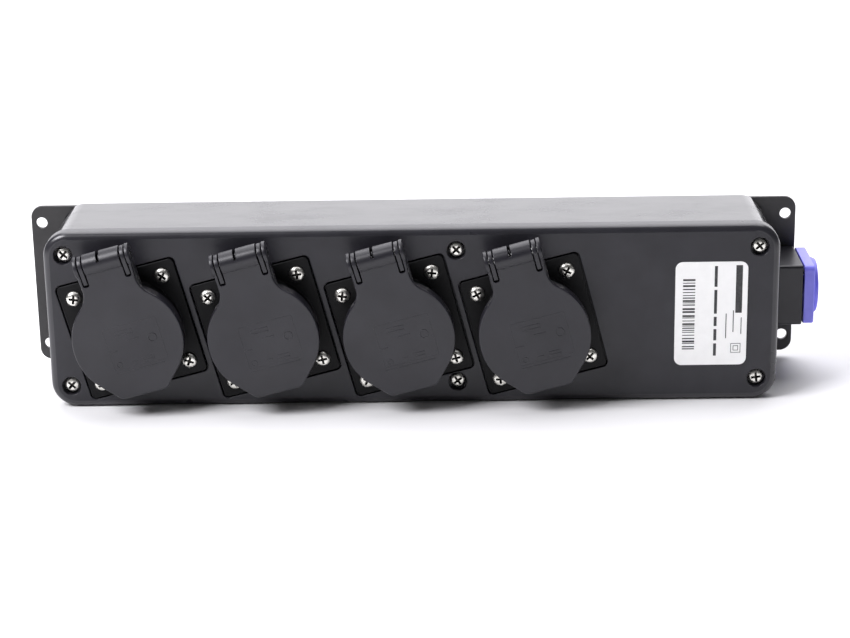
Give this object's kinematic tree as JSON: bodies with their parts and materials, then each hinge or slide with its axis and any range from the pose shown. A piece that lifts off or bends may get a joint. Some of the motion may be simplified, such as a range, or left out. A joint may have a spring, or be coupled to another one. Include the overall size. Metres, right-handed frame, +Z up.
{
  "type": "portable power distribution box",
  "caption": "Slim power distribution box on a flanged back plate, with slanted lidded panel sockets across its front and a round locking power inlet at one end.",
  "frame": {"origin": "centre of the mounting plate's back face", "axes": "+X along the box towards the inlet, +Y into the wall, so that the sockets face -Y, and +Z up across the box"},
  "size_m": [0.3351, 0.0717, 0.0754],
  "materials": {
    "enclosure_plastic": "satin black moulded plastic with a fine grain",
    "plate_metal": "satin black powder coat",
    "lid_plastic": "satin dark grey moulded plastic",
    "socket_plastic": "matte black moulded plastic",
    "seal_rubber": "matte black rubber",
    "label_film": "white printed film",
    "screw_metal": "bright nickel plated",
    "pin_metal": "plain spring steel",
    "contact_metal": "brass contacts with their wires",
    "inlet_plastic": "semi-gloss blue violet moulded plastic"
  },
  "bodies": {
    "enclosure": {"front_cover": "enclosure_plastic", "cover_gasket": "seal_rubber", "rear_housing": "enclosure_plastic", "mounting_plate": "plate_metal", "rating_label": "label_film", "cover_screw_1": "screw_metal", "cover_screw_2": "screw_metal", "cover_screw_3": "screw_metal", "cover_screw_4": "screw_metal", "cover_screw_5": "screw_metal", "cover_screw_6": "screw_metal", "socket_body_1": "socket_plastic", "socket_gasket_1": "seal_rubber", "lid_hinge_pin_1": "pin_metal", "socket_1_screw_1": "screw_metal", "socket_1_screw_2": "screw_metal", "socket_1_screw_3": "screw_metal", "socket_1_screw_4": "screw_metal", "socket_body_2": "socket_plastic", "socket_gasket_2": "seal_rubber", "lid_hinge_pin_2": "pin_metal", "socket_2_screw_1": "screw_metal", "socket_2_screw_2": "screw_metal", "socket_2_screw_3": "screw_metal", "socket_2_screw_4": "screw_metal", "socket_body_3": "socket_plastic", "socket_gasket_3": "seal_rubber", "lid_hinge_pin_3": "pin_metal", "socket_3_screw_1": "screw_metal", "socket_3_screw_2": "screw_metal", "socket_3_screw_3": "screw_metal", "socket_3_screw_4": "screw_metal", "socket_body_4": "socket_plastic", "socket_gasket_4": "seal_rubber", "lid_hinge_pin_4": "pin_metal", "socket_4_screw_1": "screw_metal", "socket_4_screw_2": "screw_metal", "socket_4_screw_3": "screw_metal", "socket_4_screw_4": "screw_metal", "inlet_block": "enclosure_plastic", "inlet_shell": "inlet_plastic", "inlet_insert": "socket_plastic", "inlet_screw_1": "screw_metal", "inlet_screw_2": "screw_metal", "line_wiring": "contact_metal", "neutral_wiring": "contact_metal", "earth_wiring": "contact_metal"},
    "lid_body_1": {"lid_1": "lid_plastic", "lid_seal_1": "seal_rubber", "lid_spring_1": "pin_metal"},
    "lid_body_2": {"lid_2": "lid_plastic", "lid_seal_2": "seal_rubber", "lid_spring_2": "pin_metal"},
    "lid_body_3": {"lid_3": "lid_plastic", "lid_seal_3": "seal_rubber", "lid_spring_3": "pin_metal"},
    "lid_body_4": {"lid_4": "lid_plastic", "lid_seal_4": "seal_rubber", "lid_spring_4": "pin_metal"}
  },
  "joints": [
    {"name": "lid_hinge_1", "type": "hinge", "parent": "enclosure", "child": "lid_body_1", "pos_m": [-0.12396, -0.0669, 0.02912], "axis": [-0.9681, 0, -0.2504], "range_deg": [0, 120], "stiffness_Nm_per_rad": 0.006, "springref_deg": -57.3},
    {"name": "lid_hinge_2", "type": "hinge", "parent": "enclosure", "child": "lid_body_2", "pos_m": [-0.06883, -0.0669, 0.02912], "axis": [-0.9681, 0, -0.2504], "range_deg": [0, 120], "stiffness_Nm_per_rad": 0.006, "springref_deg": -57.3},
    {"name": "lid_hinge_3", "type": "hinge", "parent": "enclosure", "child": "lid_body_3", "pos_m": [-0.0137, -0.0669, 0.02912], "axis": [-0.9681, 0, -0.2504], "range_deg": [0, 120], "stiffness_Nm_per_rad": 0.006, "springref_deg": -57.3},
    {"name": "lid_hinge_4", "type": "hinge", "parent": "enclosure", "child": "lid_body_4", "pos_m": [0.04143, -0.0669, 0.02912], "axis": [-0.9681, 0, -0.2504], "range_deg": [0, 120], "stiffness_Nm_per_rad": 0.006, "springref_deg": -57.3}
  ]
}
